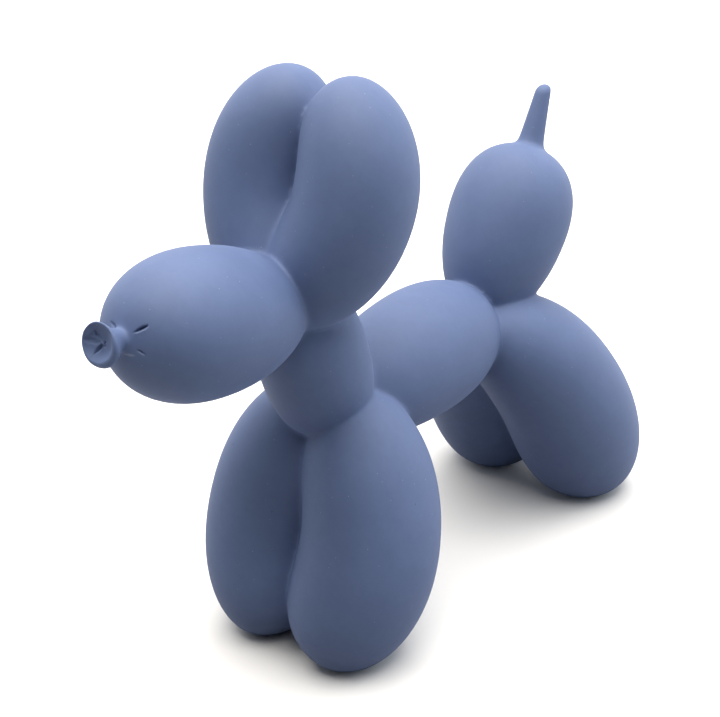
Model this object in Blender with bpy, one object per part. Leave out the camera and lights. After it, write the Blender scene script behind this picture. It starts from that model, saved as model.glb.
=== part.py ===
"""Balloon dog statue: one matte cast ornament in the form of a twisted balloon dog.

Metres, +Z up. The dog faces -Y, +X is its left side, and it stands on its four feet at z = 0.
Ten bubbles meet at three twists, at the chest, the hip and the head. Each bubble is an ovoid whose
centre line is a circular arc from its inner end, in the twist, to its outer end. The body, neck,
snout and tail lie in the mid-plane x = 0, and the ears and legs come in mirrored pairs.
"""
import math
from dataclasses import dataclass

import bmesh
import bpy
import numpy as np
from mathutils import Matrix, Vector

# Lengths are measured along the centre line, and a girth is the bubble's largest width
SNOUT_LENGTH = 0.0753
SNOUT_GIRTH = 0.0458
EAR_LENGTH = 0.0864
EAR_GIRTH = 0.0382
NECK_LENGTH = 0.0594
NECK_GIRTH = 0.0373
BODY_LENGTH = 0.0866
BODY_GIRTH = 0.0453
FRONT_LEG_LENGTH = 0.0950
FRONT_LEG_GIRTH = 0.0463
HIND_LEG_LENGTH = 0.1086
HIND_LEG_GIRTH = 0.0487
TAIL_LENGTH = 0.0670
TAIL_GIRTH = 0.0443

# How far each foot's round end is ground off to stand flat
FRONT_FOOT_FLAT = 0.0034
HIND_FOOT_FLAT = 0.0017

# The tied mouth of the balloon at the tip of the snout
MOUTH_STEM_RADIUS = 0.0036
MOUTH_RIM_RADIUS = 0.0067
MOUTH_RIM_WIDTH = 0.0014
MOUTH_REACH = 0.0084
MOUTH_CUP_DEPTH = 0.0020
MOUTH_PINCH_DEPTH = 0.0007

# The leaf-shaped folds pressed into the snout round the stem
FOLD_WIDTH = 0.0015
FOLD_DEPTH = 0.0010

# The uninflated end of the balloon, standing on the tail
TEAT_LENGTH = 0.0232
TEAT_ROOT_RADIUS = 0.0044
TEAT_TIP_RADIUS = 0.0030
TEAT_LEAN = 17.8

# The pose in degrees: pitch is above straight ahead, lean is backwards, splay is outwards, and turn rolls
# a limb's hollow side about its axis, away from the mid-plane
SNOUT_PITCH = 12.4
NECK_PITCH = -107.4
TAIL_PITCH = 122.6
EAR_POSE = {"lean": 18.1, "splay": 10.8, "turn": 5.8, "upward": True}
FRONT_LEG_POSE = {"lean": -16.1, "splay": 3.4, "turn": -10.0, "upward": False}
HIND_LEG_POSE = {"lean": 33.7, "splay": 8.6, "turn": -52.5, "upward": False}

# Where each inner end lies from its twist. The ears' and legs' are those of the left side
SNOUT_INSET = Vector((0, -0.0004, -0.0043))
EAR_INSET = Vector((-0.0101, -0.0032, -0.0041))
NECK_INSET = Vector((0, 0.0032, -0.0076))
FRONT_LEG_INSET = Vector((0.0010, 0.0048, 0.0025))
HIND_LEG_INSET = Vector((0.0039, -0.0073, 0.0005))
TAIL_INSET = Vector((0, -0.0004, -0.0017))

# Facets: corners round a bubble, rings along it, corners round the small turned parts, rings across the
# mouth's cup, and the distance within which the joined skin's doubled corners are one
BUBBLE_SIDES = 24
BUBBLE_RINGS = 18
SMALL_SIDES = 24
CUP_RINGS = 4
SEAM_WELD = 0.00001


@dataclass(frozen=True)
class Bubble:
    """An ovoid bent along an arc. Angles are in degrees, the rest are shares of the bubble's own size."""

    length: float
    girth: float
    taper: float = 0.0
    fullness: float = 2.2
    bend: float = 0.0
    sway: float = 0.0
    breadth: float = 1.0

    def centre_line(self, along):
        """Offsets along the axis and towards the hollow side, and the arc's angle, for along in -1 to 1."""
        half = self.length / 2
        shift = self.sway * self.girth / 2 * (along**3 - along)
        if abs(self.bend) < 0.01:
            return half * along, shift, 0.0
        angle = math.radians(self.bend) / 2 * along
        radius = self.length / math.radians(self.bend)
        forward = radius * math.sin(angle) - shift * math.sin(angle)
        inward = radius * (1 - math.cos(angle)) + shift * math.cos(angle)
        return forward, inward, angle

    def section_radius(self, along):
        """Radius of the round section at a place along the centre line."""
        rest = max(0.0, 1 - abs(along) ** self.fullness)
        return self.girth / 2 * (1 + self.taper * along) * rest ** (1 / self.fullness)

    def end(self, frame, along):
        """The centre line's point at along, in the given frame."""
        forward, inward, _ = self.centre_line(along)
        return frame @ Vector((forward, inward, 0))

    def surface(self, frame, along, turn, swell=1.0):
        """A point of the skin, turn being the angle round the centre line from the hollow side."""
        forward, inward, angle = self.centre_line(along)
        radius = self.section_radius(along) * swell
        side = radius * math.cos(turn)
        return frame @ Vector((
            forward - side * math.sin(angle),
            inward + side * math.cos(angle),
            radius * self.breadth * math.sin(turn),
        ))


SNOUT = Bubble(SNOUT_LENGTH, SNOUT_GIRTH, taper=0.146, fullness=2.12)
EAR = Bubble(EAR_LENGTH, EAR_GIRTH, taper=0.05, fullness=2.53, bend=124, sway=0.10, breadth=1.04)
NECK = Bubble(NECK_LENGTH, NECK_GIRTH, fullness=2.29)
BODY = Bubble(BODY_LENGTH, BODY_GIRTH, taper=0.126, fullness=2.21)
FRONT_LEG = Bubble(
    FRONT_LEG_LENGTH, FRONT_LEG_GIRTH, taper=0.056, fullness=2.81, bend=86, sway=0.06, breadth=1.076
)
HIND_LEG = Bubble(HIND_LEG_LENGTH, HIND_LEG_GIRTH, taper=0.134, fullness=2.71, bend=47.2, sway=-0.116)
TAIL = Bubble(TAIL_LENGTH, TAIL_GIRTH, taper=0.146, fullness=2.22)


def mid_axes(pitch):
    """Axes of a mid-plane bubble whose axis points pitch degrees above straight ahead."""
    angle = math.radians(pitch)
    axis = Vector((0, -math.cos(angle), math.sin(angle)))
    return axes_from(axis, Vector((1, 0, 0)))


def pair_axes(lean, splay, turn, upward):
    """Axes of a left-hand limb: lean is backwards, splay outwards, turn rolls its hollow side."""
    back = math.radians(lean)
    out = math.radians(splay)
    rise = math.cos(back) * math.cos(out) * (1 if upward else -1)
    axis = Vector((math.sin(out), math.sin(back) * math.cos(out), rise))
    inward = Vector((-1, 0, 0))
    hollow = (inward - inward.dot(axis) * axis).normalized()
    return axes_from(axis, Matrix.Rotation(math.radians(turn), 3, axis) @ hollow)


def axes_from(axis, hollow):
    """Rotation whose columns are the axis, the hollow side and the remaining direction."""
    return Matrix((axis, hollow, axis.cross(hollow))).transposed()


def frame_with_end_at(bubble, axes, point, along=-1):
    """Frame of a bubble with these axes whose centre line passes point at along."""
    frame = axes.to_4x4()
    frame.translation = Vector(point) - bubble.end(frame, along)
    return frame


def facet_swell(sides):
    """How far the corners of a polygon stand out so that it covers as much as the round it stands for."""
    wedge = 2 * math.pi / sides
    return math.sqrt(wedge / math.sin(wedge))


def bubble_mesh(bubble, frame, sides=BUBBLE_SIDES, rings=BUBBLE_RINGS, stagger=0.0):
    """Closed mesh of a bubble, its rings spread evenly over its skin.

    stagger turns the corners by that share of a side, so that mirrored bubbles never meet edge on edge.
    """
    mesh = bmesh.new()
    swell = facet_swell(sides)
    loops = []
    for ring in range(1, rings):
        swing = math.pi * (ring / rings - 0.5)
        along = math.copysign(abs(math.sin(swing)) ** (2 / bubble.fullness), swing)
        turns = [2 * math.pi * (side + stagger) / sides for side in range(sides)]
        loops.append([mesh.verts.new(bubble.surface(frame, along, turn, swell)) for turn in turns])
    inner = mesh.verts.new(bubble.end(frame, -1))
    outer = mesh.verts.new(bubble.end(frame, 1))
    for side in range(sides):
        after = (side + 1) % sides
        mesh.faces.new((inner, loops[0][after], loops[0][side]))
        mesh.faces.new((outer, loops[-1][side], loops[-1][after]))
        for low, high in zip(loops, loops[1:]):
            mesh.faces.new((low[side], low[after], high[after], high[side]))
    return mesh


def turned_mesh(profile, frame, pinched=0, pinch=0.0, sides=SMALL_SIDES):
    """Closed mesh turned about the frame's Z axis from (radius, height) points, both ends on the axis.

    The last pinched points are pressed back by pinch along four creases, midway between the X and Y axes.
    """
    mesh = bmesh.new()
    start = mesh.verts.new(frame @ Vector((0, 0, profile[0][1])))
    finish = mesh.verts.new(frame @ Vector((0, 0, profile[-1][1] - pinch)))
    creases = range(sides // 8, sides, sides // 4)
    loops = []
    for point in range(1, len(profile) - 1):
        radius = profile[point][0] * facet_swell(sides)
        ring = []
        for side in range(sides):
            turn = 2 * math.pi * side / sides
            pressed = pinch if side in creases and point >= len(profile) - pinched else 0.0
            corner = Vector((radius * math.cos(turn), radius * math.sin(turn), profile[point][1] - pressed))
            ring.append(mesh.verts.new(frame @ corner))
        loops.append(ring)
    for side in range(sides):
        after = (side + 1) % sides
        mesh.faces.new((start, loops[0][after], loops[0][side]))
        mesh.faces.new((finish, loops[-1][side], loops[-1][after]))
        for low, high in zip(loops, loops[1:]):
            mesh.faces.new((low[side], low[after], high[after], high[side]))
    return mesh


def arc_points(centre, radius, start, stop, steps):
    """Points of a profile's round stretch, angles in degrees."""
    angles = [math.radians(start + (stop - start) * step / steps) for step in range(steps + 1)]
    return [(centre[0] + radius * math.cos(a), centre[1] + radius * math.sin(a)) for a in angles]


def axis_frame(origin, axis, side):
    """Frame at origin whose Z runs along axis and whose X is as near to side as it can be."""
    axis = Vector(axis).normalized()
    across = (Vector(side) - Vector(side).dot(axis) * axis).normalized()
    frame = Matrix((across, axis.cross(across), axis)).transposed().to_4x4()
    frame.translation = Vector(origin)
    return frame


def lowest(bubble, frame):
    """Height of a bubble's lowest point."""
    spread = np.linspace(-0.999, 0.999, 200)
    turns = np.linspace(0, 2 * math.pi, 72)
    return min(bubble.surface(frame, along, turn).z for along in spread for turn in turns)


def add_object(name, mesh, mirrored=False, guide=True):
    """Object from a bmesh, mirrored to the right side where asked. A guide only shapes the statue."""
    if mirrored:
        bmesh.ops.scale(mesh, vec=(-1, 1, 1), verts=mesh.verts)
        bmesh.ops.reverse_faces(mesh, faces=mesh.faces)
    data = bpy.data.meshes.new(name)
    mesh.to_mesh(data)
    mesh.free()
    data.shade_smooth()
    shape = bpy.data.objects.new(name, data)
    bpy.context.scene.collection.objects.link(shape)
    if guide:
        shape.hide_render = True
        shape.display_type = "WIRE"
    return shape


def combine(target, guide, operation):
    """Joins a guide to the statue, or cuts it away, with an exact Boolean."""
    step = target.modifiers.new(operation.title() + " " + guide.name, "BOOLEAN")
    step.operation = operation
    step.solver = "EXACT"
    step.object = guide


def matte_resin():
    """Slate-blue matte paint over cast resin."""
    material = bpy.data.materials.new("matte slate-blue resin")
    material.use_nodes = True
    shader = material.node_tree.nodes["Principled BSDF"]
    shader.inputs["Base Color"].default_value = (0.105, 0.150, 0.270, 1)
    shader.inputs["Roughness"].default_value = 0.8
    shader.inputs["Metallic"].default_value = 0.0
    return material


def mouth_profile():
    """Turned profile of the tied mouth: flared root, stem, rolled rim and shallow cup."""
    rim_round = MOUTH_RIM_WIDTH / 2
    rim_centre = (MOUTH_RIM_RADIUS - rim_round, MOUTH_REACH - rim_round)
    flare = MOUTH_RIM_RADIUS - MOUTH_STEM_RADIUS
    root = [(0, -MOUTH_REACH), (MOUTH_STEM_RADIUS * 1.9, -MOUTH_REACH)]
    root += [(MOUTH_STEM_RADIUS * 1.75, -MOUTH_REACH * 0.22), (MOUTH_STEM_RADIUS * 1.25, MOUTH_REACH * 0.03)]
    stem = [(MOUTH_STEM_RADIUS, MOUTH_REACH * 0.25), (MOUTH_STEM_RADIUS * 1.04, MOUTH_REACH * 0.42)]
    stem += [(MOUTH_STEM_RADIUS + flare * 0.45, MOUTH_REACH * 0.62)]
    rim = arc_points(rim_centre, rim_round, -50, 130, 4)
    cup_radius = rim_centre[0] - rim_round
    cup = []
    for step in range(1, CUP_RINGS + 1):
        share = 1 - step / CUP_RINGS
        cup.append((cup_radius * share, MOUTH_REACH - MOUTH_CUP_DEPTH * (1 - share**2)))
    return root + stem + rim + cup


def teat_profile():
    """Turned profile of the teat: filleted foot, slight taper and rounded tip."""
    foot = [(0, -TEAT_ROOT_RADIUS), (TEAT_ROOT_RADIUS * 1.5, -TEAT_ROOT_RADIUS)]
    foot += [(TEAT_ROOT_RADIUS * 1.35, 0), (TEAT_ROOT_RADIUS * 1.1, TEAT_LENGTH * 0.08)]
    foot += [(TEAT_ROOT_RADIUS * 0.93, TEAT_LENGTH * 0.22)]
    shoulder = TEAT_LENGTH - TEAT_TIP_RADIUS * 0.9
    middle = (TEAT_ROOT_RADIUS * 0.93 + TEAT_TIP_RADIUS) / 2
    shaft = [(middle, (TEAT_LENGTH * 0.22 + shoulder) / 2), (TEAT_TIP_RADIUS, shoulder)]
    tip = []
    for step in (1, 2):
        angle = math.radians(30 * step)
        tip.append((TEAT_TIP_RADIUS * math.cos(angle), shoulder + TEAT_TIP_RADIUS * 0.9 * math.sin(angle)))
    return foot + shaft + tip + [(0, TEAT_LENGTH)]


def leaf_mesh(start, stop, outward, width, depth):
    """Spindle from start to stop that cuts a leaf-shaped groove, its middle lying on the skin."""
    start = Vector(start)
    stop = Vector(stop)
    leaf = Bubble((stop - start).length, width, fullness=1.7, breadth=2 * depth / width)
    axis = (stop - start).normalized()
    across = axis.cross(Vector(outward)).normalized()
    frame = axes_from(axis, across).to_4x4()
    frame.translation = (start + stop) / 2
    return bubble_mesh(leaf, frame, sides=8, rings=6)


def fold_mesh(frame, turn, near, far):
    """Cutter of one fold on the snout, at turn degrees round the tip, between two distances from its axis."""
    tip_half = np.linspace(0.5, 1.0, 200)
    radii = np.array([SNOUT.section_radius(along) for along in tip_half])
    around = math.radians(turn)
    ends = []
    for radius in (near, far):
        along = float(np.interp(-radius, -radii, tip_half))
        ends.append(SNOUT.surface(frame, along, around))
    outward = (ends[0] + ends[1]) / 2 - frame.translation
    return leaf_mesh(ends[0], ends[1], outward, FOLD_WIDTH, FOLD_DEPTH)


for old in list(bpy.data.objects):
    bpy.data.objects.remove(old)

# The pose is worked out from the chest twist at the origin, and an empty then stands it on the floor
chest = Vector((0, 0, 0))
front_leg_frame = frame_with_end_at(FRONT_LEG, pair_axes(**FRONT_LEG_POSE), chest + FRONT_LEG_INSET)
floor = lowest(FRONT_LEG, front_leg_frame) + FRONT_FOOT_FLAT

# The hip is as high as the hind legs hold it and a body's length behind the chest
hind_leg_axes = pair_axes(**HIND_LEG_POSE)
hind_leg_reach = lowest(HIND_LEG, frame_with_end_at(HIND_LEG, hind_leg_axes, HIND_LEG_INSET))
hip_height = floor - hind_leg_reach - HIND_FOOT_FLAT
hip = Vector((0, math.sqrt(BODY_LENGTH**2 - hip_height**2), hip_height))
hind_leg_frame = frame_with_end_at(HIND_LEG, hind_leg_axes, hip + HIND_LEG_INSET)
body_pitch = 180 - math.degrees(math.atan2(hip.z, hip.y))
body_frame = frame_with_end_at(BODY, mid_axes(body_pitch), chest)
tail_frame = frame_with_end_at(TAIL, mid_axes(TAIL_PITCH), hip + TAIL_INSET)

# The neck stands on the chest, and its upper end is the head twist that the snout and ears share
neck_frame = frame_with_end_at(NECK, mid_axes(NECK_PITCH), chest + NECK_INSET, along=1)
head = NECK.end(neck_frame, -1)
snout_frame = frame_with_end_at(SNOUT, mid_axes(SNOUT_PITCH), head + SNOUT_INSET)
ear_frame = frame_with_end_at(EAR, pair_axes(**EAR_POSE), head + EAR_INSET)

statue = add_object("balloon_dog", bubble_mesh(BODY, body_frame), guide=False)
statue.data.materials.append(matte_resin())
guides = []
singles = (("neck", NECK, neck_frame), ("snout", SNOUT, snout_frame), ("tail", TAIL, tail_frame))
for name, bubble, frame in singles:
    guides.append(add_object(name, bubble_mesh(bubble, frame)))
pairs = (
    ("front_leg", FRONT_LEG, front_leg_frame),
    ("hind_leg", HIND_LEG, hind_leg_frame),
    ("ear", EAR, ear_frame),
)
for name, bubble, frame in pairs:
    guides.append(add_object(name + "_left", bubble_mesh(bubble, frame)))
    guides.append(add_object(name + "_right", bubble_mesh(bubble, frame, stagger=0.5), mirrored=True))

# The mouth continues the snout's axis, and the teat stands on the tail's outer end
snout_axis = snout_frame.to_3x3() @ Vector((1, 0, 0))
mouth_frame = axis_frame(SNOUT.end(snout_frame, 1), snout_axis, (1, 0, 0))
mouth = turned_mesh(mouth_profile(), mouth_frame, pinched=CUP_RINGS - 1, pinch=MOUTH_PINCH_DEPTH)
guides.append(add_object("mouth", mouth))
teat_lean = math.radians(TEAT_LEAN)
teat_axis = (0, math.sin(teat_lean), math.cos(teat_lean))
teat_frame = axis_frame(TAIL.end(tail_frame, 1), teat_axis, (1, 0, 0))
guides.append(add_object("teat", turned_mesh(teat_profile(), teat_frame)))

cutters = []
stem = MOUTH_STEM_RADIUS
for name, turn, near, far in (
    ("fold_upper_left", 38, stem * 1.5, stem * 2.9),
    ("fold_lower_left", -14, stem * 1.65, stem * 2.5),
    ("fold_upper_right", 140, stem * 1.35, stem * 2.1),
    ("fold_lower_right", 205, stem * 1.55, stem * 2.5),
):
    cutters.append(add_object(name, fold_mesh(snout_frame, turn, near, far)))

# Standing the dog: its lowest skin goes just below z = 0 and its length is centred on the origin
stance = bpy.data.objects.new("stance", None)
bpy.context.scene.collection.objects.link(stance)
reach = [corner.y for shape in [statue] + guides for corner in (vertex.co for vertex in shape.data.vertices)]
stance.location = (0, -(min(reach) + max(reach)) / 2, -floor)
for shape in [statue] + guides + cutters:
    shape.parent = stance

slab = bmesh.new()
bmesh.ops.create_cube(slab, size=1)
slab_depth = FRONT_FOOT_FLAT + HIND_FOOT_FLAT
slab_size = Vector((BODY_LENGTH * 4, BODY_LENGTH * 4, slab_depth * 2))
bmesh.ops.scale(slab, vec=slab_size, verts=slab.verts)
bmesh.ops.translate(slab, vec=(0, 0, -slab_depth), verts=slab.verts)
ground = add_object("ground", slab)

for guide in guides:
    combine(statue, guide, "UNION")
for cutter in [ground] + cutters:
    combine(statue, cutter, "DIFFERENCE")

# Doubled corners are merged, and triangles chosen for their shape leave no needles along the seams
seams = statue.modifiers.new("Weld seams", "WELD")
seams.merge_threshold = SEAM_WELD
facets = statue.modifiers.new("Triangulate", "TRIANGULATE")
facets.quad_method = "BEAUTY"
facets.ngon_method = "BEAUTY"
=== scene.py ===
import math
from dataclasses import dataclass

import bmesh
import bpy
import numpy as np
from mathutils import Matrix, Vector


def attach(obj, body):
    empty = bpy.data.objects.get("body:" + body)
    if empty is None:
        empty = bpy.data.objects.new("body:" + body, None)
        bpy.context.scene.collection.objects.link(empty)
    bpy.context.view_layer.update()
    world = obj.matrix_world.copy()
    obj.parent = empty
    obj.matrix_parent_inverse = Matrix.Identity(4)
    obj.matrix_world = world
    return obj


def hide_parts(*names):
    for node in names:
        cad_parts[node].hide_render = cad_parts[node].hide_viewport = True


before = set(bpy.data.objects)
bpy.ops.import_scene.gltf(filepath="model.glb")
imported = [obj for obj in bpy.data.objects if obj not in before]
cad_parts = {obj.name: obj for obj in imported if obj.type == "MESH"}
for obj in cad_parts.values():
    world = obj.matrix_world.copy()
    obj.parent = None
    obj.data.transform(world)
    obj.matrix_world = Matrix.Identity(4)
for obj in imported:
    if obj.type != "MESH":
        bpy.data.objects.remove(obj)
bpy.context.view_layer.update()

# The cast figure is one hollow resin casting in the form of ten twisted balloon bubbles, which run into each
# other with soft creases and are ground flat under the feet. Its skin starts as the solid's, finely remeshed,
# and is then drawn onto the bubbles' true rounds.

# How far past a bubble's ends, in half lengths, its taper and sway go on growing
PAST_END = 1.3


@dataclass(frozen=True)
class Bubble:
    """An ovoid bent along an arc by so many degrees. Taper, sway and breadth are shares of its own size."""

    length: float
    girth: float
    taper: float = 0.0
    fullness: float = 2.2
    bend: float = 0.0
    sway: float = 0.0
    breadth: float = 1.0

    def end(self, along):
        """An end of the centre line in the bubble's own axes: the inner end for -1, the outer end for 1."""
        if self.bend == 0:
            return Vector((self.length / 2 * along, 0, 0))
        angle = math.radians(self.bend) / 2 * along
        radius = self.length / math.radians(self.bend)
        return Vector((radius * math.sin(angle), radius * (1 - math.cos(angle)), 0))

    def form(self, local):
        """A number for each point in the bubble's own axes: under 0 inside, 0 on the skin, over 0 outside."""
        if self.bend == 0:
            forward, inward = local[:, 0], local[:, 1]
        else:
            radius = self.length / math.radians(self.bend)
            forward = radius * np.arctan2(local[:, 0], radius - local[:, 1])
            inward = radius - np.hypot(local[:, 0], radius - local[:, 1])
        along = forward / (self.length / 2)
        near = np.clip(along, -PAST_END, PAST_END)
        inward = inward - self.sway * self.girth / 2 * (near**3 - near)
        from_line = np.hypot(inward, local[:, 2] / self.breadth)
        section = self.girth / 2 * (1 + self.taper * near)
        power = self.fullness
        return (np.abs(along) ** power + (from_line / section) ** power) ** (1 / power) - 1


BUBBLES = {
    "snout": Bubble(0.0753, 0.0458, taper=0.146, fullness=2.12),
    "ear": Bubble(0.0864, 0.0382, taper=0.05, fullness=2.53, bend=124, sway=0.10, breadth=1.04),
    "neck": Bubble(0.0562, 0.0370, fullness=2.60),
    "body": Bubble(0.0866, 0.0453, taper=0.126, fullness=2.21),
    "front_leg": Bubble(0.0950, 0.0463, taper=0.056, fullness=2.81, bend=86, sway=0.06, breadth=1.076),
    "hind_leg": Bubble(0.1086, 0.0487, taper=0.134, fullness=2.71, bend=47.2, sway=-0.116),
    "tail": Bubble(0.0670, 0.0443, taper=0.146, fullness=2.22),
}

# The twists that the bubbles meet at. A bubble in the middle has its pitch above straight ahead in degrees,
# which of its ends lies at a twist, and where. One of a pair has its lean backwards, its splay outwards, the
# turn of its hollow side about its axis, 1 to stand up or -1 to hang down, and where its inner end lies
CHEST = Vector((0, -0.027277, 0.083701))
HIP = CHEST + Vector((0, 0.086563, 0.002541))
HEAD = CHEST + Vector((0, -0.014563, 0.049082))
MID_POSES = {
    "snout": (12.4, -1, HEAD + Vector((0, -0.0004, -0.0043))),
    "neck": (-107.4, 1, CHEST + Vector((0, 0.0023, -0.0047))),
    "body": (178.319, -1, CHEST),
    "tail": (122.6, -1, HIP + Vector((0, -0.0004, -0.0017))),
}
PAIR_POSES = {
    "ear": (18.1, 10.8, 5.8, 1, HEAD + Vector((-0.0101, -0.0032, -0.0041))),
    "front_leg": (-16.1, 3.4, -10.0, -1, CHEST + Vector((0.0010, 0.0048, 0.0025))),
    "hind_leg": (33.7, 8.6, -52.5, -1, HIP + Vector((0.0039, -0.0073, 0.0005))),
}
MIRROR = np.array((-1, 1, 1))


def axes_from(axis, hollow):
    """Rotation whose columns are the axis, the hollow side and the remaining direction."""
    return Matrix((axis, hollow, axis.cross(hollow))).transposed()


def placed(bubble, axes, point, along):
    """Frame of a bubble with these axes whose centre line ends at point."""
    place = axes.to_4x4()
    place.translation = point - axes @ bubble.end(along)
    return place


def mid_frame(name):
    """Frame of a bubble that lies in the mid-plane."""
    pitch, along, point = MID_POSES[name]
    axis = Vector((0, -math.cos(math.radians(pitch)), math.sin(math.radians(pitch))))
    return placed(BUBBLES[name], axes_from(axis, Vector((1, 0, 0))), point, along)


def left_frame(name):
    """Frame of the left bubble of a pair."""
    lean, splay, turn, up, point = PAIR_POSES[name]
    back = math.radians(lean)
    out = math.radians(splay)
    axis = Vector((math.sin(out), math.sin(back) * math.cos(out), math.cos(back) * math.cos(out) * up))
    inward = Vector((-1, 0, 0))
    hollow = Matrix.Rotation(math.radians(turn), 3, axis) @ (inward - inward.dot(axis) * axis).normalized()
    return placed(BUBBLES[name], axes_from(axis, hollow), point, -1)


def in_frame(place, points):
    """World points in a frame's own axes."""
    axes = np.array(place.to_3x3())
    return (points - np.array(place.translation)) @ axes


def placed_form(bubble, place, side=1):
    """The form of a bubble in its place, or of its mirror image, for world points."""
    return lambda points: bubble.form(in_frame(place, points * side))


snout_frame = mid_frame("snout")
tail_frame = mid_frame("tail")
forms = [placed_form(BUBBLES[name], mid_frame(name)) for name in MID_POSES]
for name in PAIR_POSES:
    forms += [placed_form(BUBBLES[name], left_frame(name), side) for side in (1, MIRROR)]


def rounded_max(a, b, radius):
    """The higher of two distances, its corner rounded to about this radius."""
    rest = np.maximum(radius - np.abs(a - b), 0) / radius
    return np.maximum(a, b) + rest**2 * radius / 4


# The teat is the balloon's uninflated end, cast in resin in one with the tail. It stands on the tail, leans
# back, flares where it joins and tapers to a blunt tip that is cut a little aslant.
TEAT_LENGTH = 0.0238
TEAT_ROOT_RADIUS = 0.00485
TEAT_TIP_RADIUS = 0.0026
TEAT_TIP_ROUND = 0.0030
TEAT_TIP_SLANT = 0.40
TEAT_FLARE = 0.0009
TEAT_FLARE_HEIGHT = 0.0016
TEAT_LEAN = math.radians(24.0)
TEAT_FORWARD = 0.0015
teat_axis = Vector((0, math.sin(TEAT_LEAN), math.cos(TEAT_LEAN)))
teat_frame = axes_from(teat_axis, Vector((1, 0, 0))).to_4x4()
teat_frame.translation = tail_frame @ BUBBLES["tail"].end(1) - Vector((0, TEAT_FORWARD, 0))


def teat_form(points):
    """Distance to the teat's skin."""
    local = in_frame(teat_frame, points)
    height = local[:, 0]
    radius = TEAT_ROOT_RADIUS + (TEAT_TIP_RADIUS - TEAT_ROOT_RADIUS) * height / TEAT_LENGTH
    radius = radius + TEAT_FLARE * np.exp(-np.maximum(height, 0) / TEAT_FLARE_HEIGHT)
    from_side = np.hypot(local[:, 1], local[:, 2]) - radius
    from_tip = height - TEAT_TIP_SLANT * local[:, 2] - TEAT_LENGTH
    upper = rounded_max(from_side, from_tip, TEAT_TIP_ROUND)
    return np.maximum(upper, -height - TEAT_ROOT_RADIUS)


forms.append(teat_form)

# The skin runs over all of these with soft creases and is cut flat at the floor, with a small rounded edge
CREASE_SOFTNESS = 0.0007
FOOT_EDGE = 0.0005
PROBE = 0.00001
LONGEST_MOVE = 0.0012
LEAST_SLOPE = 0.3


def gap_and_normal(form, points):
    """Distance from each point to a form's skin, and the skin's outward normal there."""
    value = form(points)
    slope = np.stack([(form(points + step) - value) / PROBE for step in np.eye(3) * PROBE], axis=1)
    steepness = np.linalg.norm(slope, axis=1)
    return value / steepness, slope / steepness[:, None]


def skin_gap(points):
    """Distance to the whole figure's skin with its fillets, the normal, and how near a second form comes."""
    pairs = [gap_and_normal(form, points) for form in forms]
    gaps = np.stack([gap for gap, _ in pairs])
    normals = np.stack([normal for _, normal in pairs])
    nearest = gaps.min(axis=0)
    weights = np.exp(-(gaps - nearest) / CREASE_SOFTNESS)
    total = weights.sum(axis=0)
    gap = nearest - CREASE_SOFTNESS * np.log(total)
    normal = (weights[:, :, None] * normals).sum(axis=0) / total[:, None]
    second = np.partition(gaps, 1, axis=0)[1]
    below = -points[:, 2]
    share = np.clip(0.5 + (below - gap) / (2 * FOOT_EDGE), 0, 1)[:, None]
    normal = normal * (1 - share) + np.array((0, 0, -1)) * share
    return rounded_max(gap, below, FOOT_EDGE), normal, second - nearest


def draw_onto_skin(points, rounds):
    """Moves points along the skin's normal until they lie on it."""
    for _ in range(rounds):
        gap, normal, _ = skin_gap(points)
        move = np.clip(gap, -LONGEST_MOVE, LONGEST_MOVE) / np.maximum((normal**2).sum(axis=1), LEAST_SLOPE)
        points = points - normal * move[:, None]
    return points


def set_out(name, data):
    """A new object in the scene."""
    thing = bpy.data.objects.new(name, data)
    bpy.context.scene.collection.objects.link(thing)
    return thing


def positions(mesh):
    """A bmesh's points as an array."""
    return np.array([vertex.co for vertex in mesh.verts])


def place_points(mesh, points):
    """Puts an array's points back into a bmesh."""
    for vertex, point in zip(mesh.verts, points):
        vertex.co = point


# The solid's skin is remeshed to even squares and opened round the mouth
SKIN_CELL = 0.0018
PATCH_RADIUS = 0.0125
OPENING_MARGIN = SKIN_CELL * 0.6
snout_axes = snout_frame.to_3x3()
mouth_up = snout_axes.col[0].cross(Vector((1, 0, 0)))
mouth_frame = Matrix((snout_axes.col[0], (1, 0, 0), mouth_up)).transposed().to_4x4()
mouth_frame.translation = snout_frame @ BUBBLES["snout"].end(1)


def beside_mouth(points, margin):
    """Which points lie on the snout's tip, within the patch that the mouth stands on."""
    local = in_frame(mouth_frame, points)
    return (np.hypot(local[:, 1], local[:, 2]) < PATCH_RADIUS + margin) & (local[:, 0] > -PATCH_RADIUS)


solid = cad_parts["balloon_dog"]
statue = set_out("statue", solid.data.copy())
remesh = statue.modifiers.new("even skin", "REMESH")
remesh.mode = "VOXEL"
remesh.voxel_size = SKIN_CELL
even = bpy.data.meshes.new_from_object(statue.evaluated_get(bpy.context.evaluated_depsgraph_get()))
statue.modifiers.clear()
skin = bmesh.new()
skin.from_mesh(even)
bpy.data.meshes.remove(even)
opened = beside_mouth(positions(skin), OPENING_MARGIN)
skin.verts.ensure_lookup_table()
bmesh.ops.delete(skin, geom=[skin.verts[i] for i in np.flatnonzero(opened)], context="VERTS")
bmesh.ops.delete(skin, geom=[edge for edge in skin.edges if edge.is_wire], context="EDGES")
bmesh.ops.delete(skin, geom=[vertex for vertex in skin.verts if not vertex.link_faces], context="VERTS")

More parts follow.
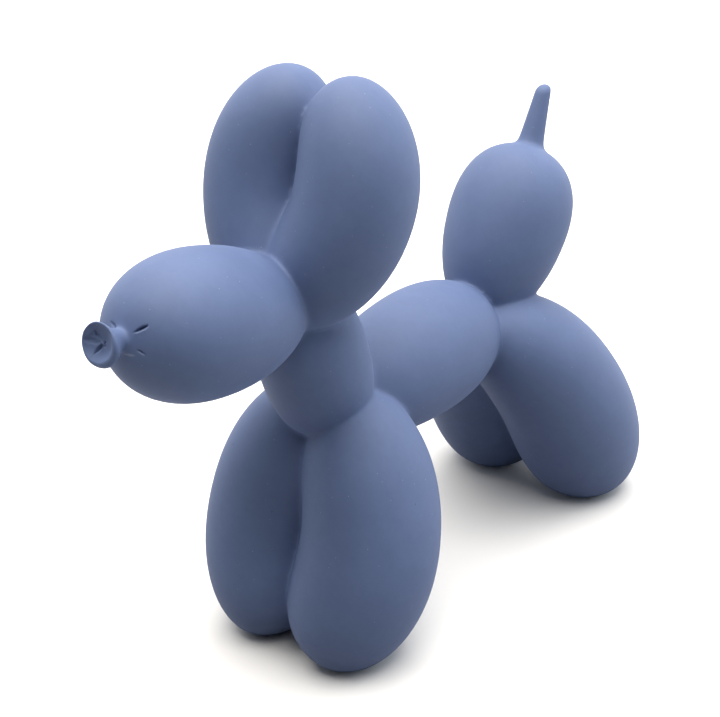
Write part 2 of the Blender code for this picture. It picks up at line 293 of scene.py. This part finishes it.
# The tied mouth is cast in resin in one with the snout. A short stem flares to a lip round a shallow cup, and
# the lip is thick and soft low on the dog's left and thin opposite, as rolled rubber is.
STEM_RADIUS = 0.00355
STEM_HEIGHT = 0.0008
LIP_REACH = 0.0083
LIP_RADIUS = 0.00685
THIN_LIP_ROUND = 0.00030
THICK_LIP_ROUND = 0.00160
THICK_LIP_TURN = math.radians(-55)
THIN_LIP_FRONT = math.radians(130)
THICK_LIP_FRONT = math.radians(106)
LIP_BACK = math.radians(-35)
LIP_DROOP = 0.00035
CUP_START = 0.00012
CUP_DEPTH = 0.0021
ROOT_RADIUS = 0.0068
PATCH_SIDES = 216
CUP_RINGS, LIP_RINGS, FLARE_RINGS, ROOT_RINGS, SNOUT_RINGS = 34, 12, 18, 12, 36

# How far the curves of its profile hold their way: across the cup's floor, up its side, off the lip's back
# and along the stem, and then down the stem and out onto the snout
CUP_FLOOR_HOLD = 0.0028
CUP_SIDE_HOLD = (0.0012, 0.0009)
FLARE_HOLD = 0.0022
STEM_HOLD = 0.0011
ROOT_HOLD = 0.0019
SLOPE_STEP = 0.0002
HALVINGS = 30


def snout_height(from_axis):
    """Height of the snout's skin over its tip, beside the mouth's axis."""
    snout = BUBBLES["snout"]
    low, high = 0.5, 1.0
    for _ in range(HALVINGS):
        along = (low + high) / 2
        rounding = (1 - along**snout.fullness) ** (1 / snout.fullness)
        if snout.girth / 2 * (1 + snout.taper * along) * rounding > from_axis:
            low = along
        else:
            high = along
    return (along - 1) * snout.length / 2


def swept_curve(start, leaving, arriving, stop, steps):
    """Points of a smooth curve from start up to stop, without stop, leaving and arriving as given."""
    corners = [Vector(start), Vector(start) + Vector(leaving), Vector(stop) - Vector(arriving), Vector(stop)]
    points = []
    for step in range(steps):
        t = step / steps
        weights = ((1 - t) ** 3, 3 * t * (1 - t) ** 2, 3 * t * t * (1 - t), t**3)
        points.append(tuple(sum((w * corner for w, corner in zip(weights, corners)), Vector((0, 0)))))
    return points


def mouth_profile(lip_round, front_turn):
    """The mouth's distance from its axis and height over the snout's tip, from the cup's middle outwards.

    Its lip is this round and turns this far into the cup.
    """
    lip_centre = Vector((LIP_RADIUS - lip_round, LIP_REACH - lip_round))
    lip_back = lip_centre + lip_round * Vector((math.cos(LIP_BACK), math.sin(LIP_BACK)))
    lip_front = lip_centre + lip_round * Vector((math.cos(front_turn), math.sin(front_turn)))
    cup_middle = (CUP_START, LIP_REACH - CUP_DEPTH)
    points = swept_curve(cup_middle, (CUP_FLOOR_HOLD, 0), CUP_SIDE_HOLD, lip_front, CUP_RINGS)
    for step in range(LIP_RINGS):
        turn = front_turn + (LIP_BACK - front_turn) * step / LIP_RINGS
        points.append(tuple(lip_centre + lip_round * Vector((math.cos(turn), math.sin(turn)))))
    stem = (STEM_RADIUS, STEM_HEIGHT)
    leaving = FLARE_HOLD * Vector((math.sin(LIP_BACK), -math.cos(LIP_BACK)))
    points += swept_curve(lip_back, leaving, (0, -FLARE_HOLD), stem, FLARE_RINGS)
    slope = (snout_height(ROOT_RADIUS + SLOPE_STEP) - snout_height(ROOT_RADIUS)) / SLOPE_STEP
    root_end = (ROOT_RADIUS, snout_height(ROOT_RADIUS))
    return points + swept_curve(stem, (0, -STEM_HOLD), (ROOT_HOLD, ROOT_HOLD * slope), root_end, ROOT_RINGS)


thin = mouth_profile(THIN_LIP_ROUND, THIN_LIP_FRONT)
thick = mouth_profile(THICK_LIP_ROUND, THICK_LIP_FRONT)
mouth_rings = len(thin)
for step in range(SNOUT_RINGS + 1):
    reach = ROOT_RADIUS + (PATCH_RADIUS - ROOT_RADIUS) * step / SNOUT_RINGS
    thin.append((reach, snout_height(reach)))
    thick.append(thin[-1])

# Pinched rubber leaves a star of creases and pits in the cup, and four folds round the stem. Each is given by
# its two ends, in millimetres across and up from the mouth's axis, and by its half width, its depth and how
# high a ridge stands along its lower side
CUP_CREASES = (
    ((-2.9, 3.7), (-2.8, 1.2), 0.36, 0.75, 0.0),
    ((-6.2, 0.1), (-2.8, 0.5), 1.00, 0.60, 0.0),
    ((-4.2, -0.6), (-1.0, 0.6), 0.75, 0.45, 0.0),
    ((-4.6, 1.7), (-0.4, 1.4), 1.60, 0.45, 0.0),
    ((-0.5, 0.0), (-2.7, -3.4), 0.52, 1.10, 0.0),
    ((-2.4, -2.7), (-2.7, -4.8), 0.26, 0.14, 0.0),
    ((0.42, 0.56), (0.44, 0.50), 0.28, 0.60, 0.0),
    ((0.48, -0.46), (0.48, -0.52), 0.28, 0.60, 0.0),
    ((0.46, 0.9), (0.46, -0.8), 0.22, 0.30, 0.0),
)
SNOUT_FOLDS = (
    ((4.6, 3.35), (8.2, 6.05), 0.36, 1.20, 0.16),
    ((6.2, -1.35), (8.6, -2.5), 0.24, 0.55, 0.14),
    ((-5.1, 3.9), (-1.3, 2.9), 0.50, 0.50, 0.05),
    ((-4.6, -2.2), (-7.2, -3.6), 0.30, 0.60, 0.12),
)
MILLIMETRES = 1000

# A groove narrows like a leaf to both ends, unless it is as short as a pit. Its ridge lies RIDGE_AWAY half
# widths from its middle line, is RIDGE_BREADTH half widths broad and has faded out RIDGE_END half widths away
LEAF_POWER = 0.75
LEAF_LEAST = 0.02
PIT_LENGTH = 0.5
RIDGE_AWAY = 2.1
RIDGE_BREADTH = 1.2
RIDGE_END = 4


def groove_depth(across, up, start, stop, width, deep, ridge):
    """How deep a groove is at each place, less the height of its ridge there, in millimetres."""
    run = np.subtract(stop, start)
    length = np.hypot(*run)
    share = np.clip(((across - start[0]) * run[0] + (up - start[1]) * run[1]) / length**2, 0, 1)
    away = np.stack([across - start[0] - share * run[0], up - start[1] - share * run[1]])
    side = away[1] * abs(run[0]) / length - away[0] * np.sign(run[0]) * run[1] / length
    leaf = np.ones_like(share)
    if length > PIT_LENGTH:
        leaf = np.maximum(4 * share * (1 - share), LEAF_LEAST) ** LEAF_POWER
    pressed = np.exp(-((np.hypot(*away) / (width * leaf)) ** 2)) * leaf**0.5
    raised = np.exp(-(((side + width * RIDGE_AWAY) / (width * RIDGE_BREADTH)) ** 2)) * leaf
    raised *= np.exp(-((np.hypot(*away) / (width * RIDGE_END)) ** 4))
    return deep * pressed - ridge * raised


def folded(across, up, grooves):
    """The depth of all of these grooves together, in metres."""
    depths = np.array([groove_depth(across * MILLIMETRES, up * MILLIMETRES, *groove) for groove in grooves])
    pressed = np.sqrt((np.maximum(depths, 0) ** 2).sum(axis=0))
    return (pressed + np.minimum(depths, 0).min(axis=0)) / MILLIMETRES


# The lip is a little out of round and out of level. Each wave has its height, its count and its start. The
# cup's creases run out short of the lip, as steeply as this power
ROUND_WAVES = ((0.010, 2, 0.6), (0.008, 3, 2.0))
LEVEL_WAVES = ((0.00010, 2, 1.9), (0.00008, 5, 0.0))
CREASE_END_POWER = 6


def waves(parts, turns):
    """These waves together, at these turns round the mouth."""
    return sum(high * np.sin(count * turns + start) for high, count, start in parts)


turns = 2 * np.pi * np.arange(PATCH_SIDES) / PATCH_SIDES
turned = skin.verts.layers.int.new("turned")
rings = []
thickness = (0.5 + 0.5 * np.cos(turns - THICK_LIP_TURN)) ** 2
for number, (thin_point, thick_point) in enumerate(zip(thin, thick)):
    radius, height = (a + (b - a) * thickness for a, b in zip(thin_point, thick_point))
    openness = np.clip((height - STEM_HEIGHT) / LIP_REACH, 0, 1) if number < mouth_rings else 0
    waver = 1 + openness * waves(ROUND_WAVES, turns)
    across, up = radius * waver * np.cos(turns), radius * waver * np.sin(turns)
    heights = height + openness * waves(LEVEL_WAVES, turns)
    if number < CUP_RINGS:
        heights = heights - folded(across, up, CUP_CREASES) * (1 - (radius / LIP_RADIUS) ** CREASE_END_POWER)
    lowered = up - LIP_DROOP * openness
    ring = [skin.verts.new(mouth_frame @ Vector(corner)) for corner in zip(heights, across, lowered)]
    rings.append(ring)
    for vertex in ring:
        vertex[turned] = number < mouth_rings
centre = skin.verts.new(sum((vertex.co for vertex in rings[0]), Vector()) / PATCH_SIDES)
centre[turned] = 1
for side in range(PATCH_SIDES):
    after = (side + 1) % PATCH_SIDES
    skin.faces.new((centre, rings[0][side], rings[0][after]))
    for inner, outer in zip(rings, rings[1:]):
        skin.faces.new((inner[side], outer[side], outer[after], inner[after]))
bmesh.ops.bridge_loops(skin, edges=[edge for edge in skin.edges if edge.is_boundary])
bmesh.ops.recalc_face_normals(skin, faces=skin.faces)

# Creases get squares half as wide, and again half as wide in their depths, and so does the teat. Each round
# has how near a second bubble comes there, and how far from the teat's axis its squares reach
FINE_BANDS = ((0.0034, 0.011), (0.0013, 0.0062))
TEAT_START = -0.002
FOOT_HEIGHT = 0.001
EVENING_SHARE = 0.6


def even_out(points, edges, free, rounds):
    """Draws the free points towards the middle of their neighbours and back onto the skin."""
    links = np.concatenate([edges, edges[:, ::-1]])
    count = np.bincount(links[:, 0], minlength=len(points))[:, None]
    for _ in range(rounds):
        middle = np.zeros_like(points)
        for axis in range(3):
            pulls = points[links[:, 1], axis]
            middle[:, axis] = np.bincount(links[:, 0], weights=pulls, minlength=len(points))
        middle /= np.maximum(count, 1)
        drawn = draw_onto_skin(points * (1 - EVENING_SHARE) + middle * EVENING_SHARE, 1)
        points = np.where(free[:, None], drawn, points)
    return points


def settle(rounds):
    """Evens the skin out and draws it onto the bubbles, the mouth's own rings and its patch staying put."""
    skin.verts.index_update()
    points = positions(skin)
    fixed = np.array([vertex[turned] for vertex in skin.verts]) == 1
    points = np.where(fixed[:, None], points, draw_onto_skin(points, 3))
    edges = np.array([[vertex.index for vertex in edge.verts] for edge in skin.edges])
    points = even_out(points, edges, ~beside_mouth(points, -SKIN_CELL / 2), rounds)
    points = np.where(fixed[:, None], points, draw_onto_skin(points, 2))
    place_points(skin, points)
    return points


points = settle(4)
for crease_band, teat_band in FINE_BANDS:
    _, _, second = skin_gap(points)
    teat_local = in_frame(teat_frame, points)
    on_teat = (teat_local[:, 0] > TEAT_START) & (np.hypot(teat_local[:, 1], teat_local[:, 2]) < teat_band)
    elsewhere = ~beside_mouth(points, SKIN_CELL) & (points[:, 2] > FOOT_HEIGHT)
    fine = ((second < crease_band) | on_teat) & elsewhere
    skin.verts.ensure_lookup_table()
    chosen = [edge for edge in skin.edges if fine[edge.verts[0].index] and fine[edge.verts[1].index]]
    bmesh.ops.subdivide_edges(skin, edges=chosen, cuts=1, use_grid_fill=True)
    points = settle(3)

# The folds are pressed into the snout, on its own skin and not on the stem
FOLD_MARGIN = 0.002
FOLD_CEILING = 0.0012
skin.normal_update()
local = in_frame(mouth_frame, points)
on_snout = beside_mouth(points, FOLD_MARGIN) & (local[:, 0] < FOLD_CEILING)
depth = np.where(on_snout, folded(local[:, 1], local[:, 2], SNOUT_FOLDS), 0)
normals = np.array([vertex.normal for vertex in skin.verts])
place_points(skin, points - normals * depth[:, None])
skin.to_mesh(statue.data)
skin.free()

# The coat is painted paler on the ridges of the folds, a painted highlight where they catch the light, and in
# one paler streak under the stem
STREAK = ((1.6, -3.7), (5.6, -3.3), 0.42, 1.0, 0.0)
STREAK_HEIGHTS = (-0.0012, 0.0022)
STREAK_PALING = 0.7
RIDGE_HIGHLIGHT = 2500
on_root = (local[:, 0] > STREAK_HEIGHTS[0]) & (local[:, 0] < STREAK_HEIGHTS[1])
streak = groove_depth(local[:, 1] * MILLIMETRES, local[:, 2] * MILLIMETRES, *STREAK)
# Painted highlight on the fold ridges, growing with their height, and a paler streak under the stem
ridge_highlight_and_streak = np.clip(np.where(on_root, streak, 0) * STREAK_PALING + np.maximum(-depth, 0) * RIDGE_HIGHLIGHT, 0, 1)
statue.data.attributes.new("ridge_highlight_and_streak", "FLOAT", "POINT").data.foreach_set("value", ridge_highlight_and_streak)
statue.data.materials.clear()
statue.data.shade_smooth()
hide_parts("balloon_dog")
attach(statue, "root")


class Signal:
    """A socket's value while a material is written. Arithmetic on it adds Math nodes to the material."""

    def __init__(self, tree, socket=None):
        self.tree = tree
        self.socket = socket

    def add(self, kind, settings=None, values=None, output=0):
        """One output of a new node of this kind. Its settings are made first, then its inputs."""
        node = self.tree.nodes.new(kind)
        for name, setting in (settings or {}).items():
            setattr(node, name, setting)
        for name, value in (values or {}).items():
            if isinstance(value, Signal):
                self.tree.links.new(value.socket, node.inputs[name])
            else:
                node.inputs[name].default_value = value
        return Signal(self.tree, node.outputs[output])

    def math(self, operation, first, second):
        """The result of a Math node."""
        return self.add("ShaderNodeMath", {"operation": operation}, {0: first, 1: second})

    def __add__(self, other):
        return self.math("ADD", self, other)

    def __sub__(self, other):
        return self.math("SUBTRACT", self, other)

    def __rsub__(self, other):
        return self.math("SUBTRACT", other, self)

    def __mul__(self, other):
        return self.math("MULTIPLY", self, other)

    __radd__ = __add__
    __rmul__ = __mul__

    def ramp(self, low, high):
        """0 where the value is low, 1 where it is high, and smooth between."""
        settings = {"interpolation_type": "SMOOTHSTEP", "clamp": True}
        return self.add("ShaderNodeMapRange", settings, {"Value": self, "From Min": low, "From Max": high})

    def tint(self, low, high):
        """The low colour where the value is 0 and the high one where it is 1."""
        return self.add("ShaderNodeMix", {"data_type": "RGBA"}, {0: self, 6: low, 7: high}, output=2)

    def feed(self, node, name):
        """Links the value to a node's input."""
        self.tree.links.new(self.socket, node.inputs[name])


def new_material(name):
    """An empty node material, its Principled BSDF, and a Signal to start its nodes from."""
    material = bpy.data.materials.new(name)
    material.use_nodes = True
    return material, material.node_tree.nodes["Principled BSDF"], Signal(material.node_tree)


# The coat is matte slate-blue paint, sprayed on the casting in thin passes: a little cloudy, faintly mottled,
# with light specks of dried mist and a few faint pinholes where bubbles in the resin burst
COAT_BLUE = (0.0668, 0.1035, 0.220, 1)
COAT_CLOUD = (0.0770, 0.1175, 0.243, 1)
SPECK_PALE = (0.42, 0.48, 0.60, 1)
PINHOLE_DARK = (0.018, 0.024, 0.045, 1)
HIGHLIGHT_AND_STREAK_PALE = (0.22, 0.27, 0.40, 1)

# Clouds, mottle and grain have their scale, detail and roughness. Specks and pinholes have their cells to a
# metre, their size in a cell and the share of the cells that hold one
CLOUDS = (55, 3, 0.55)
MOTTLE = (420, 2, 0.6)
GRAIN = (1100, 2, 0.6)
CLOUD_EDGES = (0.35, 0.68)
CLOUD_SHARE, MOTTLE_SHARE, GRAIN_SHARE, COLOUR_LOWERED = 0.8, 0.9, 0.35, 0.45
SPECKS = (560, 0.10, 0.14)
PINHOLES = (150, 0.060, 0.10)
DOT_CORE = 0.55
LOT_EDGE = 0.02
SPECK_STRENGTH = 0.32
PINHOLE_STRENGTH = 0.3
PALING_GRAIN, PALING_LEAST = 0.8, 0.5
ROUGHNESS, ROUGHNESS_WAVER, PINHOLE_ROUGHNESS, SPECK_GLOSS = 0.62, 0.10, 0.15, 0.06
GRAIN_RELIEF, SPECK_RELIEF = 0.5, 0.35
RELIEF_STRENGTH = 0.35
RELIEF_HEIGHT = 0.00008
COAT_SPECULAR = 0.6

coat, shader, start = new_material("matte slate-blue coat")
spot = start.add("ShaderNodeTexCoord", output="Object")


def drifts(scale, detail, roughness):
    """Soft noise over the surface, from 0 to 1."""
    values = {"Vector": spot, "Scale": scale, "Detail": detail, "Roughness": roughness}
    return start.add("ShaderNodeTexNoise", None, values)


def scattered_dots(scale, size, share):
    """Spots of paint or air, one in some of the cells that the surface is divided into."""
    cell = {"Vector": spot, "Scale": scale, "Randomness": 1.0}
    distance = start.add("ShaderNodeTexVoronoi", {"feature": "F1"}, cell, output="Distance")
    lot = start.add("ShaderNodeTexVoronoi", {"feature": "F1"}, cell, output="Color")
    lot = start.add("ShaderNodeSeparateColor", None, {"Color": lot}, output="Red")
    return (1 - distance.ramp(size * DOT_CORE, size)) * lot.ramp(1 - share, 1 - share + LOT_EDGE)


clouds = drifts(*CLOUDS)
mottle = drifts(*MOTTLE)
grain = drifts(*GRAIN)
specks = scattered_dots(*SPECKS)
pinholes = scattered_dots(*PINHOLES)
highlight_and_streak = start.add("ShaderNodeAttribute", {"attribute_name": "ridge_highlight_and_streak"}, output="Fac")
blend = clouds.ramp(*CLOUD_EDGES) * CLOUD_SHARE + mottle * MOTTLE_SHARE + grain * GRAIN_SHARE - COLOUR_LOWERED
colour = blend.tint(COAT_BLUE, COAT_CLOUD)
# Paler paint: a painted highlight on the fold ridges and a paler streak under the stem
colour = (highlight_and_streak * (grain * PALING_GRAIN + PALING_LEAST)).tint(colour, HIGHLIGHT_AND_STREAK_PALE)
colour = (specks * SPECK_STRENGTH).tint(colour, SPECK_PALE)
colour = (pinholes * PINHOLE_STRENGTH).tint(colour, PINHOLE_DARK)
colour.feed(shader, "Base Color")
roughness = ROUGHNESS + clouds * ROUGHNESS_WAVER + grain * ROUGHNESS_WAVER
roughness = roughness + pinholes * PINHOLE_ROUGHNESS - specks * SPECK_GLOSS
roughness.feed(shader, "Roughness")
relief = grain * GRAIN_RELIEF + specks * SPECK_RELIEF - pinholes
bump = {"Strength": RELIEF_STRENGTH, "Distance": RELIEF_HEIGHT, "Height": relief}
start.add("ShaderNodeBump", None, bump).feed(shader, "Normal")
shader.inputs["Specular IOR Level"].default_value = COAT_SPECULAR
statue.data.materials.append(coat)

# The floor is a round sheet of matte white paper that lies under the figure. What it throws back onto the
# figure is held down, as in a room where the light falls on little but the figure
FLOOR_RADIUS = 0.95
FLOOR_SIDES = 96
PAPER_ROUGHNESS = 0.9
PAPER_WHITE = (0.76, 0.768, 0.776, 1)
PAPER_BOUNCE = (0.20, 0.208, 0.225, 1)
floor_mesh = bmesh.new()
bmesh.ops.create_circle(floor_mesh, cap_ends=True, segments=FLOOR_SIDES, radius=FLOOR_RADIUS)
floor = set_out("floor", bpy.data.meshes.new("floor"))
floor_mesh.to_mesh(floor.data)
floor_mesh.free()
paper, paper_shader, paper_start = new_material("white paper")
paper_shader.inputs["Roughness"].default_value = PAPER_ROUGHNESS
bounced = paper_start.add("ShaderNodeLightPath", output="Is Diffuse Ray")
bounced.tint(PAPER_WHITE, PAPER_BOUNCE).feed(paper_shader, "Base Color")
floor.data.materials.append(paper)

# The lamps are six large soft boxes round the figure, all turned to its middle: a strong one overhead and
# weaker ones at the sides and the back. Each has its place, its power and its colour
LAMP_SIZE = 1.8
LAMP_AIM = Vector((0, 0, 0.08))
WARM = (1.05, 1.0, 0.93)
SUNNY = (1.02, 1.0, 0.98)
COOL = (0.94, 1.0, 1.06)
LAMPS = {
    "overhead": ((0, 0, 1.5), 64, WARM),
    "right": ((1.09, 0.87, 0.45), 17.0, COOL),
    "left": ((-1.09, -0.87, 0.45), 4.2, COOL),
    "back right": ((0.18, 1.54, 0.45), 12.5, SUNNY),
    "back left": ((-1.54, 0.18, 0.45), 12.5, SUNNY),
    "back": ((-0.93, 1.17, 0.9), 6.5, SUNNY),
}
for name, (place, power, glow) in LAMPS.items():
    lamp = bpy.data.lights.new(name, "AREA")
    lamp.shape = "SQUARE"
    lamp.size = LAMP_SIZE
    lamp.energy = power
    lamp.color = glow
    light = set_out(name, lamp)
    light.location = place
    light.rotation_euler = (LAMP_AIM - Vector(place)).to_track_quat("-Z", "Y").to_euler()

# A white backdrop stands all round: it is seen, but lights nothing. Its far half gleams a little in the coat,
# and the dark room on the camera's side doesn't
FAR_SIDE = (-0.62, 0.78, 0.0)
GLEAM_EDGES = (-0.3, 0.7)
world = bpy.data.worlds.new("studio")
world.use_nodes = True
studio = Signal(world.node_tree)
seen = studio.add("ShaderNodeLightPath", output="Is Camera Ray")
mirrored = studio.add("ShaderNodeLightPath", output="Is Glossy Ray")
way = studio.add("ShaderNodeTexCoord", output="Generated")
away = studio.add("ShaderNodeVectorMath", {"operation": "DOT_PRODUCT"}, {0: way, 1: FAR_SIDE}, output="Value")
background = world.node_tree.nodes["Background"]
background.inputs["Color"].default_value = (1, 1, 1, 1)
(seen + mirrored * away.ramp(*GLEAM_EDGES)).feed(background, "Strength")
bpy.context.scene.world = world
bpy.context.scene.view_settings.view_transform = "Standard"

# The camera looks down on the figure from ahead of its left side, with a long lens and a slight roll, as the
# photograph does. Its place and angles were fitted to the outlines together with the bubbles
CAMERA_PLACE = (0.324792, -0.405717, 0.347502)
CAMERA_YAW = math.radians(39.330)
CAMERA_PITCH = math.radians(26.152)
CAMERA_ROLL = math.radians(1.965)
CAMERA_LENS = 84.33
CAMERA_FILM = 36
CAMERA_NEAREST = 0.01
sight = Vector((
    -math.sin(CAMERA_YAW) * math.cos(CAMERA_PITCH),
    math.cos(CAMERA_YAW) * math.cos(CAMERA_PITCH),
    -math.sin(CAMERA_PITCH),
))
level_right = Vector((math.cos(CAMERA_YAW), math.sin(CAMERA_YAW), 0))
level_down = sight.cross(level_right)
right = math.cos(CAMERA_ROLL) * level_right + math.sin(CAMERA_ROLL) * level_down
down = math.cos(CAMERA_ROLL) * level_down - math.sin(CAMERA_ROLL) * level_right
camera = set_out("camera", bpy.data.cameras.new("camera"))
camera.data.sensor_width = CAMERA_FILM
camera.data.lens = CAMERA_LENS
camera.data.clip_start = CAMERA_NEAREST
camera.matrix_world = Matrix((right, -down, -sight)).transposed().to_4x4()
camera.location = CAMERA_PLACE
bpy.context.scene.camera = camera
